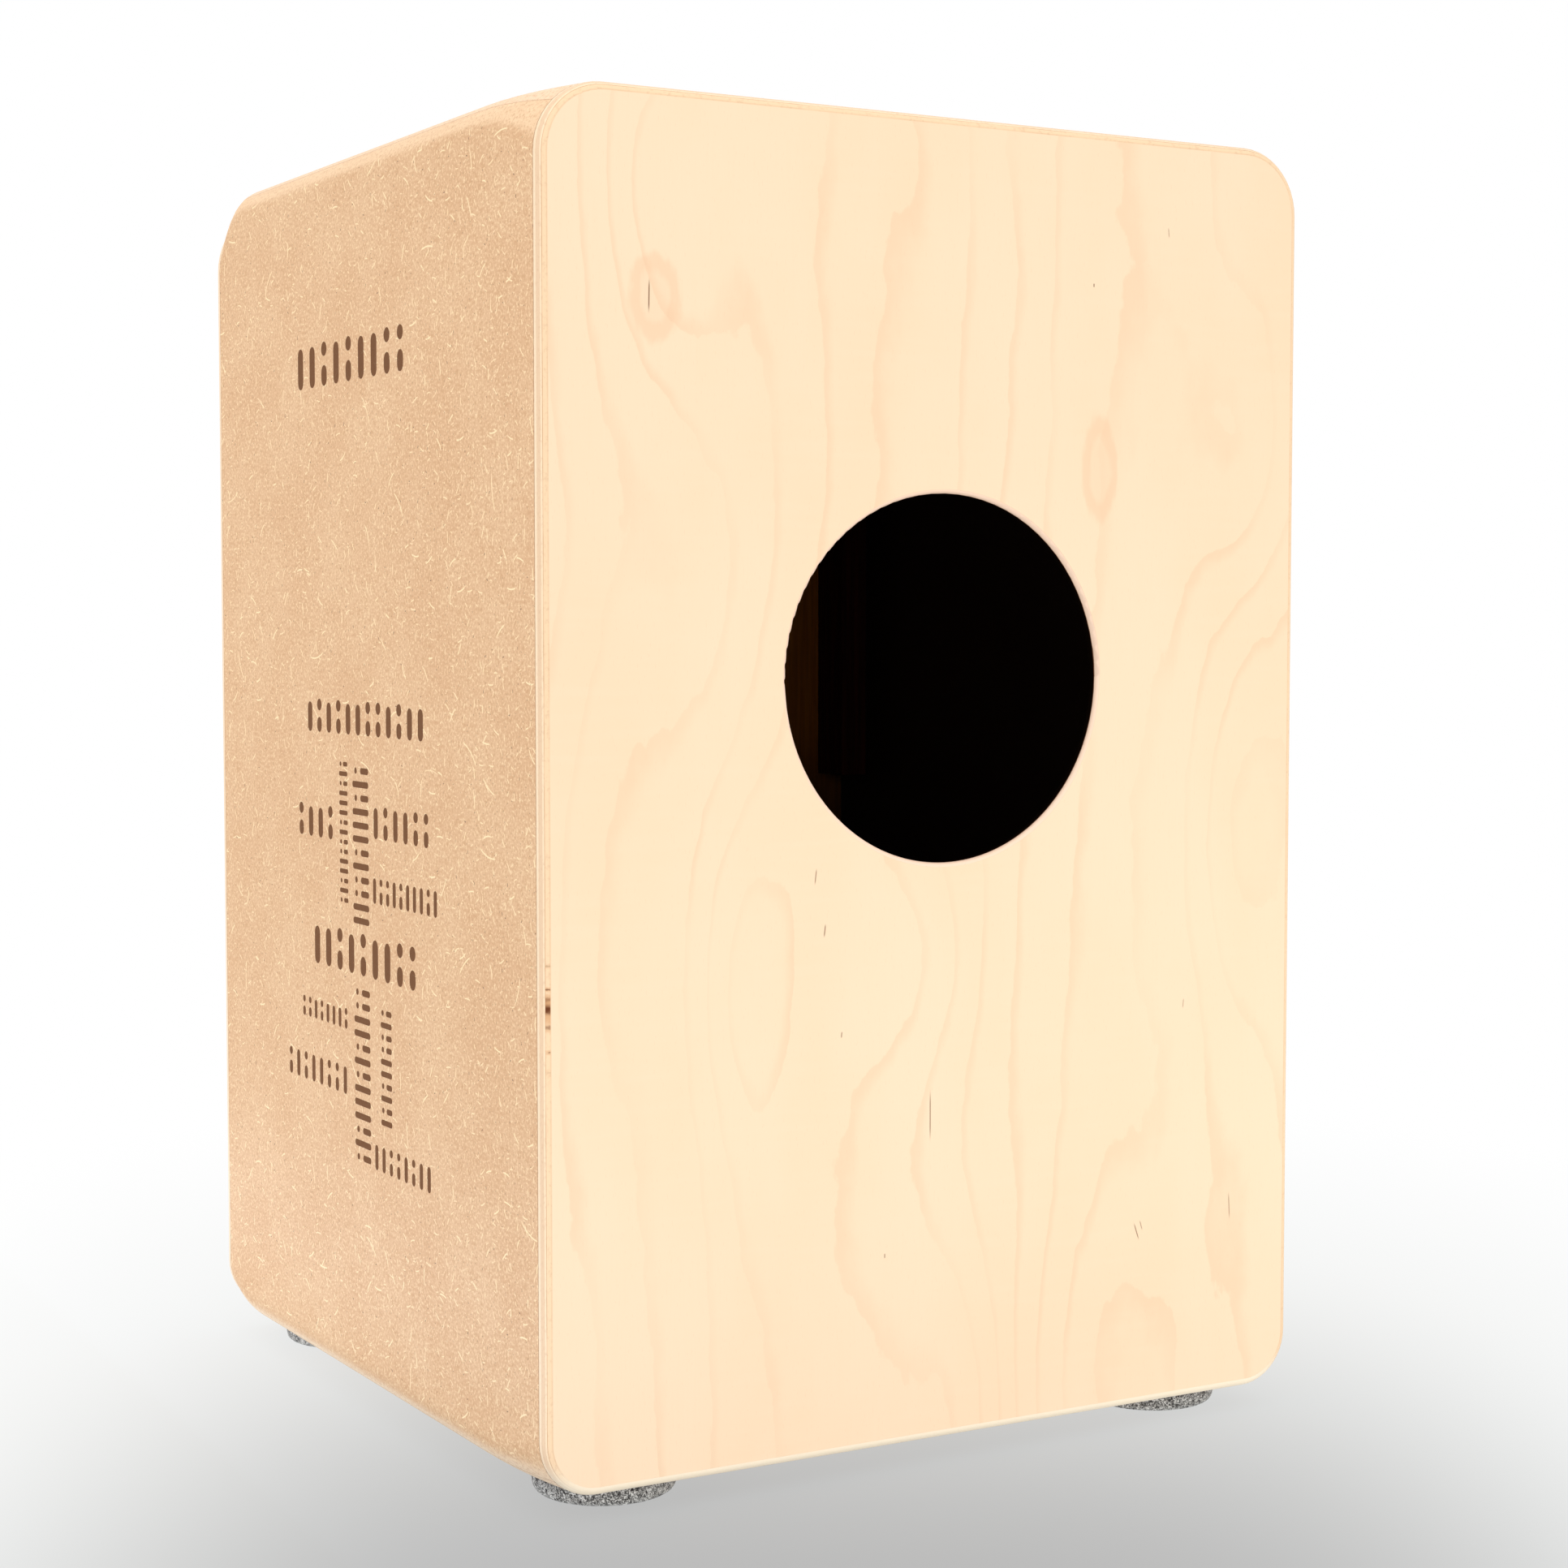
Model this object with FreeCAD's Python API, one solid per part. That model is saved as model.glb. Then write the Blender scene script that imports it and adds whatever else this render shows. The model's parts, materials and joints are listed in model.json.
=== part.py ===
"""Snare cajon: a box drum with a mitred MDF shell, a plywood back with a sound hole and a thin playing surface.

Frame: millimetres, +Z up, origin on the floor under the middle of the box. The playing surface faces -Y and the
back faces +Y. Left and right are those of a person who sits on the box and faces -Y, so left is +X.
"""

import FreeCAD, Part
import math
import os

# Box
BODY_WIDTH = 300.0
BODY_DEPTH = 300.0
BODY_HEIGHT = 446.0
WALL = 12.0                  # MDF of the four shell panels
REAR_THICKNESS = 4.0         # plywood back
TAPA_THICKNESS = 3.0         # plywood playing surface

# Rounding of the box. The long edges that run front to back are rounded evenly, and their ends are swept
# out to larger corners, the largest at the seat. Corner radii are for the top and for the bottom.
EDGE_RADIUS = 12.0
REAR_CORNER_RADII = (23.0, 19.0)
FRONT_CORNER_RADII = (30.0, 20.0)
REAR_SWEEP = 50.0
FRONT_SWEEP = 24.0
SWEEP_STEPS = 5
REAR_EDGE_ROUNDING = 3.2
TAPA_EDGE_ROUNDING = 1.5

# Sound hole
HOLE_RADIUS = 62.0
HOLE_HEIGHT = 259.0          # centre, above the underside of the box
HOLE_OUTER_ROUNDING = 1.6
HOLE_INNER_ROUNDING = 0.6

# Battens behind the playing surface
BATTEN_WIDTH = 12.0
BATTEN_DEPTH = 21.0
BATTEN_FOOT_HEIGHT = 210.0   # lower end, above the underside of the box
RAIL_DEPTH = 20.0
RAIL_HEIGHT = 20.0

# Screws of the playing surface
TAPA_SCREW_LENGTH = 16.0
TOP_ROW_PITCH = 44.0
TOP_ROW_COUNT = 5
SIDE_ROW_PITCH = 60.0
SIDE_ROW_COUNT = 4

# Countersunk screws
SHANK_RADIUS = 1.75
HEAD_RADIUS = 3.5
HEAD_CONE = 2.0
HEAD_SINK = 0.2              # how far the head lies below the surface
RECESS_WIDTH = 0.9
RECESS_SPAN = 3.8
RECESS_DEPTH = 1.4
SCREW_CLEARANCE = 0.05
SCREW_TIP_RADIUS = 0.3

# Snare
BAR_LENGTH = 275.0
BAR_DEPTH = 18.0
BAR_HEIGHT = 20.0
BAR_LOW = 388.0              # underside of the bar, above the underside of the box
BAR_SCREW_LENGTH = 33.0
BAR_SCREW_OFFSET = 5.0       # two screws at each end, above and below the middle of the bar
CLAMP_THICKNESS = 1.0
CLAMP_FLANGE = 17.0
CLAMP_LIP = 12.0
CLAMP_MARGIN = 5.0           # strip past the outermost wire
CLAMP_SCREW_RADIUS = 1.4
CLAMP_SCREW_LENGTH = 9.0
CLAMP_HEAD_RADIUS = 2.8
CLAMP_HEAD_HEIGHT = 1.8
WIRE_RADIUS = 0.9
WIRE_PITCH = 6.0
WIRE_COUNT = 10
WIRE_FIRST = 20.0            # innermost wire, from the middle of the box
WIRE_ANGLE = math.radians(13.0)
WIRE_START = 2.0             # along the lip, from the bend
WIRE_TIP_GAP = 0.3           # between the tips and the playing surface

# Felt feet
FOOT_RADIUS = 24.3
FOOT_HEIGHT = 8.5
FOOT_ROUNDING = 1.0
FOOT_INSET_X = 37.7
FOOT_INSET_Y = 34.0

# Places that follow from the sizes above
BOTTOM = FOOT_HEIGHT
TOP = BOTTOM + BODY_HEIGHT
FRONT = -BODY_DEPTH / 2
REAR = BODY_DEPTH / 2
SHELL_FRONT = FRONT + TAPA_THICKNESS
SHELL_REAR = REAR - REAR_THICKNESS
INNER_HALF_WIDTH = BODY_WIDTH / 2 - WALL
BATTEN_REAR = SHELL_FRONT + BATTEN_DEPTH
BATTEN_X = INNER_HALF_WIDTH - BATTEN_WIDTH / 2
RAIL_Z = TOP - WALL - RAIL_HEIGHT / 2
BAR_Z = BOTTOM + BAR_LOW + BAR_HEIGHT / 2

X_AXIS = FreeCAD.Vector(1, 0, 0)
FORWARD = FreeCAD.Vector(0, -1, 0)
BACKWARD = FreeCAD.Vector(0, 1, 0)
UP = FreeCAD.Vector(0, 0, 1)


def box(x_low, x_high, y_low, y_high, z_low, z_high):
    """A box between two corners."""
    corner = FreeCAD.Vector(x_low, y_low, z_low)
    return Part.makeBox(x_high - x_low, y_high - y_low, z_high - z_low, corner)


def arc(centre_x, centre_z, radius, y, start_degrees):
    """A quarter circle in the plane at y, from start_degrees, anticlockwise in X and Z."""
    points = []
    for turn in (0, 45, 90):
        angle = math.radians(start_degrees + turn)
        x = centre_x + radius * math.cos(angle)
        z = centre_z + radius * math.sin(angle)
        points.append(FreeCAD.Vector(x, y, z))
    return Part.Arc(*points).toShape()


def outline(y, radii):
    """The box's outline at y: four sides and four round corners, with radii for the top and the bottom."""
    top, bottom = radii
    top_x = BODY_WIDTH / 2 - top
    bottom_x = BODY_WIDTH / 2 - bottom
    corners = [
        arc(top_x, TOP - top, top, y, 0),
        arc(-top_x, TOP - top, top, y, 90),
        arc(-bottom_x, BOTTOM + bottom, bottom, y, 180),
        arc(bottom_x, BOTTOM + bottom, bottom, y, 270),
    ]
    edges = []
    for corner, following in zip(corners, corners[1:] + corners[:1]):
        edges.append(corner)
        edges.append(Part.makeLine(corner.lastVertex().Point, following.firstVertex().Point))
    return Part.Wire(edges)


def corner_radii(y):
    """Corner radii of the shell at y: EDGE_RADIUS along the middle, larger towards both ends."""
    front_share = max(0.0, 1 - (y - SHELL_FRONT) / FRONT_SWEEP) ** 2
    rear_share = max(0.0, 1 - (SHELL_REAR - y) / REAR_SWEEP) ** 2
    radii = []
    for front, rear in zip(FRONT_CORNER_RADII, REAR_CORNER_RADII):
        radii.append(EDGE_RADIUS + (front - EDGE_RADIUS) * front_share + (rear - EDGE_RADIUS) * rear_share)
    return radii


def shell_envelope():
    """The outer form of the MDF shell, solid."""
    steps = [i / SWEEP_STEPS for i in range(SWEEP_STEPS + 1)]
    stations = [SHELL_FRONT + FRONT_SWEEP * step for step in steps]
    stations += [SHELL_REAR - REAR_SWEEP * step for step in reversed(steps)]
    sections = [outline(y, corner_radii(y)) for y in stations]
    return Part.makeLoft(sections, True, True)


def mitred_panel(corners, envelope):
    """One shell panel: its mitred section in X and Z, as long as the shell, cut to the outer form."""
    points = [FreeCAD.Vector(x, SHELL_FRONT, z) for x, z in corners]
    section = Part.Face(Part.makePolygon(points + points[:1]))
    board = section.extrude(BACKWARD * (SHELL_REAR - SHELL_FRONT))
    return board.common(envelope)


def side_panel(side, envelope):
    """Side wall, side +1 for left (+X) and -1 for right."""
    outer = side * BODY_WIDTH / 2
    inner = side * INNER_HALF_WIDTH
    return mitred_panel([(outer, BOTTOM), (outer, TOP), (inner, TOP - WALL), (inner, BOTTOM + WALL)], envelope)


def seat_panel(envelope):
    """Top, which the player sits on."""
    outer = BODY_WIDTH / 2
    inner = INNER_HALF_WIDTH
    return mitred_panel([(-outer, TOP), (outer, TOP), (inner, TOP - WALL), (-inner, TOP - WALL)], envelope)


def base_panel(envelope):
    """Bottom, which carries the feet."""
    outer = BODY_WIDTH / 2
    inner = INNER_HALF_WIDTH
    return mitred_panel([(-outer, BOTTOM), (outer, BOTTOM), (inner, BOTTOM + WALL), (-inner, BOTTOM + WALL)], envelope)


def sheet(y_low, thickness, radii):
    """A flat sheet with the box's outline, from y_low backwards."""
    return Part.Face(outline(y_low, radii)).extrude(BACKWARD * thickness)


def edges_at(shape, y, chosen):
    """The edges of a shape that lie in the plane at y and for which chosen(edge) is true."""
    def in_plane(edge):
        return abs(edge.BoundBox.YMin - y) < 0.001 and abs(edge.BoundBox.YMax - y) < 0.001
    return [edge for edge in shape.Edges if in_plane(edge) and chosen(edge)]


def is_hole_edge(edge):
    return isinstance(edge.Curve, Part.Circle) and abs(edge.Curve.Radius - HOLE_RADIUS) < 0.001


def rear_panel():
    """Plywood back with the sound hole. The rounded outer edge bares the plies."""
    panel = sheet(SHELL_REAR, REAR_THICKNESS, REAR_CORNER_RADII)
    panel = panel.makeFillet(REAR_EDGE_ROUNDING, edges_at(panel, REAR, lambda edge: True))
    start = FreeCAD.Vector(0, SHELL_REAR - 1, BOTTOM + HOLE_HEIGHT)
    panel = panel.cut(Part.makeCylinder(HOLE_RADIUS, REAR_THICKNESS + 2, start, BACKWARD))
    panel = panel.makeFillet(HOLE_OUTER_ROUNDING, edges_at(panel, REAR, is_hole_edge))
    return panel.makeFillet(HOLE_INNER_ROUNDING, edges_at(panel, SHELL_REAR, is_hole_edge))


def shank(head_end, direction, length, radius):
    """The threaded part as a plain round rod with a conical point."""
    point_length = 2 * radius
    rod = Part.makeCylinder(radius, length - point_length, head_end, direction)
    point_start = head_end + direction * (length - point_length)
    point = Part.makeCone(radius, SCREW_TIP_RADIUS, point_length, point_start, direction)
    return rod.fuse(point)


def countersunk_body(surface, direction, length, spare):
    """A countersunk screw's outside, grown by spare: the screw itself, or with a clearance the hole for it."""
    start = surface + direction * HEAD_SINK
    cone = Part.makeCone(HEAD_RADIUS + spare, SHANK_RADIUS + spare, HEAD_CONE, start, direction)
    rod_start = start + direction * HEAD_CONE
    rod_length = length - HEAD_SINK - HEAD_CONE + spare
    rod = shank(rod_start, direction, rod_length, SHANK_RADIUS + spare)
    return cone.fuse(rod)


def countersunk_screw(surface, direction, length):
    """A countersunk screw with a cross recess. Its head lies just below the surface."""
    screw = countersunk_body(surface, direction, length, 0.0)
    start = surface + direction * HEAD_SINK
    half_span = RECESS_SPAN / 2
    half_width = RECESS_WIDTH / 2
    y_low, y_high = sorted((start.y, start.y + direction.y * RECESS_DEPTH))
    slot_across = box(start.x - half_span, start.x + half_span, y_low, y_high,
                      start.z - half_width, start.z + half_width)
    slot_upright = box(start.x - half_width, start.x + half_width, y_low, y_high,
                       start.z - half_span, start.z + half_span)
    return screw.cut(slot_across).cut(slot_upright)


def countersunk_hole(surface, direction, length):
    """The hole for a countersunk screw, with the shallow round seat that its head is sunk in."""
    hole = countersunk_body(surface, direction, length, SCREW_CLEARANCE)
    return hole.fuse(Part.makeCylinder(HEAD_RADIUS + SCREW_CLEARANCE, HEAD_SINK, surface, direction))


def top_row():
    """Where the upper row of screws enters the playing surface."""
    first = -TOP_ROW_PITCH * (TOP_ROW_COUNT - 1) / 2
    return [FreeCAD.Vector(first + TOP_ROW_PITCH * i, FRONT, RAIL_Z) for i in range(TOP_ROW_COUNT)]


def side_row(side):
    """Where one side's row of screws enters the playing surface."""
    return [FreeCAD.Vector(side * BATTEN_X, FRONT, RAIL_Z - SIDE_ROW_PITCH * i) for i in range(SIDE_ROW_COUNT)]


def bar_screw_places():
    """Where the snare bar's screws enter its rear face."""
    places = []
    for side in (1, -1):
        for offset in (-BAR_SCREW_OFFSET, BAR_SCREW_OFFSET):
            places.append(FreeCAD.Vector(side * BATTEN_X, BATTEN_REAR + BAR_DEPTH, BAR_Z + offset))
    return places


def tapa_holes():
    """Every hole that the playing surface's screws make, as one shape."""
    places = top_row() + side_row(1) + side_row(-1)
    return Part.makeCompound([countersunk_hole(place, BACKWARD, TAPA_SCREW_LENGTH) for place in places])


def bar_holes():
    """Every hole that the snare bar's screws make, as one shape."""
    return Part.makeCompound([countersunk_hole(place, FORWARD, BAR_SCREW_LENGTH) for place in bar_screw_places()])


def playing_surface():
    """The tapa, screwed on in its upper half and glued below."""
    panel = sheet(FRONT, TAPA_THICKNESS, FRONT_CORNER_RADII)
    panel = panel.makeFillet(TAPA_EDGE_ROUNDING, edges_at(panel, FRONT, lambda edge: True))
    return panel.cut(tapa_holes())


def corner_batten(side):
    """Upright batten in a front corner. It takes the side screws and carries the snare bar."""
    x_low, x_high = sorted((side * INNER_HALF_WIDTH, side * (INNER_HALF_WIDTH - BATTEN_WIDTH)))
    batten = box(x_low, x_high, SHELL_FRONT, BATTEN_REAR, BOTTOM + BATTEN_FOOT_HEIGHT, TOP - WALL)
    return batten.cut(tapa_holes()).cut(bar_holes())


def front_rail():
    """Batten under the seat, between the corner battens, for the upper row of screws."""
    half = INNER_HALF_WIDTH - BATTEN_WIDTH
    rail = box(-half, half, SHELL_FRONT, SHELL_FRONT + RAIL_DEPTH, TOP - WALL - RAIL_HEIGHT, TOP - WALL)
    return rail.cut(tapa_holes())


def screw_group(places, direction, length):
    """Separate, equal screws in one node."""
    return Part.makeCompound([countersunk_screw(place, direction, length) for place in places])


def clamp_span(side):
    """Low and high X of one clamp strip."""
    inner = WIRE_FIRST - CLAMP_MARGIN
    outer = WIRE_FIRST + WIRE_PITCH * (WIRE_COUNT - 1) + CLAMP_MARGIN
    return sorted((side * inner, side * outer))


def clamp_screw_places(side):
    """Where one clamp strip's screws meet its front face."""
    low, high = clamp_span(side)
    quarter = (high - low) / 4
    return [FreeCAD.Vector(x, BATTEN_REAR - CLAMP_THICKNESS, BAR_Z) for x in (low + quarter, high - quarter)]


def clamp_screw(place):
    """A small pan head screw, entering backwards."""
    head = Part.makeCylinder(CLAMP_HEAD_RADIUS, CLAMP_HEAD_HEIGHT, place + FORWARD * CLAMP_HEAD_HEIGHT, BACKWARD)
    rim = [edge for edge in head.Edges if abs(edge.BoundBox.YMax - place.y + CLAMP_HEAD_HEIGHT) < 0.001]
    head = head.makeFillet(CLAMP_HEAD_HEIGHT / 2, rim)
    return head.fuse(shank(place, BACKWARD, CLAMP_SCREW_LENGTH, CLAMP_SCREW_RADIUS))


def clamp_holes():
    """The holes for all clamp screws, as one shape."""
    radius = CLAMP_SCREW_RADIUS + SCREW_CLEARANCE
    places = clamp_screw_places(1) + clamp_screw_places(-1)
    length = CLAMP_SCREW_LENGTH + SCREW_CLEARANCE
    return Part.makeCompound([Part.makeCylinder(radius, length, place, BACKWARD) for place in places])


def snare_bar():
    """Wooden bar across the box, screwed to the corner battens."""
    bar = box(-BAR_LENGTH / 2, BAR_LENGTH / 2, BATTEN_REAR, BATTEN_REAR + BAR_DEPTH,
              BAR_Z - BAR_HEIGHT / 2, BAR_Z + BAR_HEIGHT / 2)
    return bar.cut(bar_holes()).cut(clamp_holes())


def wire_direction():
    """Down and forwards, along the wires."""
    return FreeCAD.Vector(0, -math.sin(WIRE_ANGLE), -math.cos(WIRE_ANGLE))


def wire_normal():
    """Square to the wires, away from the strip that they lie on."""
    return FreeCAD.Vector(0, -math.cos(WIRE_ANGLE), math.sin(WIRE_ANGLE))


def bend_point():
    """Where the clamp strip bends, on the lower front edge of the bar."""
    return FreeCAD.Vector(0, BATTEN_REAR, BOTTOM + BAR_LOW)


def snare_clamp(side):
    """Bent steel strip: a flange screwed to the bar, and a lip that the wires are soldered to."""
    low, high = clamp_span(side)
    bend = bend_point()
    lip_end = bend + wire_direction() * CLAMP_LIP
    front_bend_rise = CLAMP_THICKNESS * math.tan(WIRE_ANGLE / 2)
    section = [
        bend + UP * CLAMP_FLANGE,
        bend,
        lip_end,
        lip_end + wire_normal() * CLAMP_THICKNESS,
        bend + FORWARD * CLAMP_THICKNESS + UP * front_bend_rise,
        bend + FORWARD * CLAMP_THICKNESS + UP * CLAMP_FLANGE,
    ]
    points = [point + X_AXIS * low for point in section]
    strip = Part.Face(Part.makePolygon(points + points[:1])).extrude(X_AXIS * (high - low))
    return strip.cut(clamp_holes())


def snare_wires(side):
    """One brush of wires, each as a straight round rod from the clamp's lip to the playing surface."""
    start = bend_point() + wire_direction() * WIRE_START + wire_normal() * (CLAMP_THICKNESS + WIRE_RADIUS)
    tip_y = SHELL_FRONT + WIRE_RADIUS * math.cos(WIRE_ANGLE) + WIRE_TIP_GAP
    length = (start.y - tip_y) / math.sin(WIRE_ANGLE)
    wires = []
    for i in range(WIRE_COUNT):
        x = side * (WIRE_FIRST + WIRE_PITCH * i)
        wires.append(Part.makeCylinder(WIRE_RADIUS, length, start + X_AXIS * x, wire_direction()))
    return Part.makeCompound(wires)


def felt_foot(side, end):
    """Thick felt disc glued under the base, with its lower rim worn round."""
    x = side * (BODY_WIDTH / 2 - FOOT_INSET_X)
    y = end * (BODY_DEPTH / 2 - FOOT_INSET_Y)
    disc = Part.makeCylinder(FOOT_RADIUS, FOOT_HEIGHT, FreeCAD.Vector(x, y, 0), UP)
    rim = [edge for edge in disc.Edges if abs(edge.BoundBox.ZMax) < 0.001]
    return disc.makeFillet(FOOT_ROUNDING, rim)


def sub_parts():
    """Every node's name and shape."""
    envelope = shell_envelope()
    parts = {
        "side_panel_left": side_panel(1, envelope),
        "side_panel_right": side_panel(-1, envelope),
        "seat_panel": seat_panel(envelope),
        "base_panel": base_panel(envelope),
        "rear_panel": rear_panel(),
        "playing_surface": playing_surface(),
        "front_rail": front_rail(),
        "tapa_screws_top": screw_group(top_row(), BACKWARD, TAPA_SCREW_LENGTH),
        "snare_bar": snare_bar(),
        "snare_bar_screws": screw_group(bar_screw_places(), FORWARD, BAR_SCREW_LENGTH),
        "snare_clamp_screws": Part.makeCompound(
            [clamp_screw(place) for place in clamp_screw_places(1) + clamp_screw_places(-1)]
        ),
    }
    for side, name in ((1, "left"), (-1, "right")):
        parts["corner_batten_" + name] = corner_batten(side)
        parts["tapa_screws_" + name] = screw_group(side_row(side), BACKWARD, TAPA_SCREW_LENGTH)
        parts["snare_clamp_" + name] = snare_clamp(side)
        parts["snare_wires_" + name] = snare_wires(side)
        parts["felt_foot_front_" + name] = felt_foot(side, -1)
        parts["felt_foot_rear_" + name] = felt_foot(side, 1)
    return parts


def main():
    os.makedirs("parts", exist_ok=True)
    for name, shape in sub_parts().items():
        shape.exportStep("parts/" + name + ".step")
        print(f"{name}: {len(shape.Solids)} solids, valid {shape.isValid()}, {shape.Volume:.0f} mm3")


main()
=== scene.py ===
"""Looks of the snare cajon: materials on the CAD nodes, felt feet, printed marks, floor, light and camera."""

import json
import math

import bmesh
import bpy
from mathutils import Matrix, Vector, noise

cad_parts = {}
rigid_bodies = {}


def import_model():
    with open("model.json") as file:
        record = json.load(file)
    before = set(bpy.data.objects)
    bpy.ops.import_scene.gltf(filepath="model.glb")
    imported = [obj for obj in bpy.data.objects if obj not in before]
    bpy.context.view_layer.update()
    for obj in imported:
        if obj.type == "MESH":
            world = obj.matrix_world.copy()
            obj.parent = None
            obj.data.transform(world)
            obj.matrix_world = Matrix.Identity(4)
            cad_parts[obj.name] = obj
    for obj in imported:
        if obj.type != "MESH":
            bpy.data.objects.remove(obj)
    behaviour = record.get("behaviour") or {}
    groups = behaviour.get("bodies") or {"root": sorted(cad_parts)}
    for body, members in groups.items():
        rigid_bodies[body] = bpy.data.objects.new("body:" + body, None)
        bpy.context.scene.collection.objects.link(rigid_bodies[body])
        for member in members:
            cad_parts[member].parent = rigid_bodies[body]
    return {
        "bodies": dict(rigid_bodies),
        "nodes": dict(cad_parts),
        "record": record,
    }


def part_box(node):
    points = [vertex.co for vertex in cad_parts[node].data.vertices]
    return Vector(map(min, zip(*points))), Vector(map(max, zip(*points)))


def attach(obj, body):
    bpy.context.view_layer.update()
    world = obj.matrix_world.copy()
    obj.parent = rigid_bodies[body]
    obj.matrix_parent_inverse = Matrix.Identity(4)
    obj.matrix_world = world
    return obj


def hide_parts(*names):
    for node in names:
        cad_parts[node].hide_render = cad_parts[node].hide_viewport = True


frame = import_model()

MM = 0.001
NODES = frame["nodes"]
BODY = next(iter(frame["bodies"]))
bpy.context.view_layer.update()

# Places that the frame gives
SIDE_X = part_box("side_panel_left")[1].x
TOP_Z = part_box("seat_panel")[1].z
BOTTOM_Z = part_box("base_panel")[0].z
MIDDLE_Z = (TOP_Z + BOTTOM_Z) / 2
HALF_HEIGHT = (TOP_Z - BOTTOM_Z) / 2
REAR_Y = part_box("rear_panel")[1].y
REAR_SEAM_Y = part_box("rear_panel")[0].y
FRONT_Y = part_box("playing_surface")[0].y
FRONT_SEAM_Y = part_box("playing_surface")[1].y
WALL = 12 * MM
SOUND_HOLE = next(m for m in frame["record"]["mounts"] if m["name"] == "sound_hole")


# ---------------------------------------------------------------- materials: tools

class Graph:
    """A material's node tree, written as expressions. Plain numbers go straight onto the sockets."""

    def __init__(self, name, **shader_values):
        self.material = bpy.data.materials.new(name)
        self.material.use_nodes = True
        self.tree = self.material.node_tree
        self.shader = self.tree.nodes["Principled BSDF"]
        for socket, value in shader_values.items():
            self.shader.inputs[socket.replace("_", " ")].default_value = value
        place = self.add("TexCoord").outputs["Object"]
        self.place = place
        axes = self.add("SeparateXYZ", {0: place})
        self.x, self.y, self.z = axes.outputs

    def add(self, kind, inputs=None, **settings):
        node = self.tree.nodes.new("ShaderNode" + kind)
        for key, value in settings.items():
            setattr(node, key, value)
        for socket, value in (inputs or {}).items():
            self.feed(node.inputs[socket], value)
        return node

    def feed(self, socket, value):
        if isinstance(value, bpy.types.NodeSocket):
            self.tree.links.new(value, socket)
        else:
            socket.default_value = value

    def math(self, operation, *values):
        return self.add("Math", dict(enumerate(values)), operation=operation).outputs[0]

    def plus(self, *values):
        total = values[0]
        for value in values[1:]:
            total = self.math("ADD", total, value)
        return total

    def times(self, *values):
        product = values[0]
        for value in values[1:]:
            product = self.math("MULTIPLY", product, value)
        return product

    def minus(self, a, b):
        return self.math("SUBTRACT", a, b)

    def size(self, a):
        return self.math("ABSOLUTE", a)

    def squared(self, a):
        return self.math("POWER", a, 2.0)

    def length(self, a, b):
        """Length of the vector with the sides a and b."""
        return self.math("SQRT", self.plus(self.squared(a), self.squared(b)))

    def step(self, value, low, high, out_low=0.0, out_high=1.0):
        """Rises smoothly from out_low to out_high as value goes from low to high."""
        node = self.add("MapRange", {0: value, 1: low, 2: high, 3: out_low, 4: out_high},
                        interpolation_type="SMOOTHSTEP")
        return node.outputs[0]

    def band(self, value, low, high, soft):
        """1 where value is between low and high, with edges that are soft wide."""
        rise = self.step(value, low - soft / 2, low + soft / 2)
        fall = self.step(value, high - soft / 2, high + soft / 2, 1.0, 0.0)
        return self.times(rise, fall)

    def stroke(self, distance, half_width, soft):
        """1 on a line, 0 beyond half_width and soft."""
        return self.step(self.size(distance), half_width, half_width + soft, 1.0, 0.0)

    def vector(self, x, y, z=0.0):
        return self.add("CombineXYZ", {0: x, 1: y, 2: z}).outputs[0]

    def stretched(self, sx, sy, sz, offset=(0.0, 0.0, 0.0)):
        """The place in the frame, scaled along each axis."""
        node = self.add("Mapping", {"Vector": self.place, "Location": offset, "Scale": (sx, sy, sz)})
        return node.outputs[0]

    def noise(self, vector, scale, detail=2.0, roughness=0.5, distortion=0.0):
        sockets = {"Vector": vector, "Scale": scale, "Detail": detail, "Roughness": roughness,
                   "Distortion": distortion}
        return self.add("TexNoise", sockets).outputs[0]

    def blend(self, factor, a, b):
        """Colour a, or b where factor is 1."""
        node = self.add("Mix", {0: factor, 6: a, 7: b}, data_type="RGBA")
        return node.outputs[2]

    def fibres(self, u, v, cell, length, width, share, bend=0.0, turn=1.0, shift=0.0):
        """Short strands at random places and angles, one to a cell, on the plane of u and v."""
        place = self.vector(self.plus(u, shift), self.plus(v, shift * 1.7))
        cells = self.add("TexVoronoi", {"Vector": place, "Scale": 1.0 / cell, "Randomness": 1.0},
                         voronoi_dimensions="2D")
        local = self.add("VectorMath", {0: place, 1: cells.outputs["Position"]},
                         operation="SUBTRACT").outputs[0]
        chance = self.add("SeparateXYZ", {0: cells.outputs["Color"]}).outputs
        angle = self.times(chance[0], math.pi * turn)
        turned = self.add("VectorRotate", {"Vector": local, "Angle": angle},
                          rotation_type="Z_AXIS").outputs[0]
        axes = self.add("SeparateXYZ", {0: turned}).outputs
        curve = self.times(self.squared(axes[1]), bend)
        across = self.stroke(self.plus(axes[0], curve), width * 0.25, width * 0.45)
        reach = self.step(chance[1], 0.0, 1.0, length * 0.25, length * 0.5)
        along = self.step(self.minus(reach, self.size(axes[1])), 0.0, length * 0.12)
        shown = self.step(chance[2], share - 0.05, share + 0.05, 1.0, 0.0)
        return self.times(across, along, shown)

    def bump(self, height, distance, strength=1.0):
        node = self.add("Bump", {"Height": height, "Distance": distance, "Strength": strength})
        self.feed(self.shader.inputs["Normal"], node.outputs[0])

    def finish(self, colour, roughness=None):
        self.feed(self.shader.inputs["Base Color"], colour)
        if roughness is not None:
            self.feed(self.shader.inputs["Roughness"], roughness)
        return self.material


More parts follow.
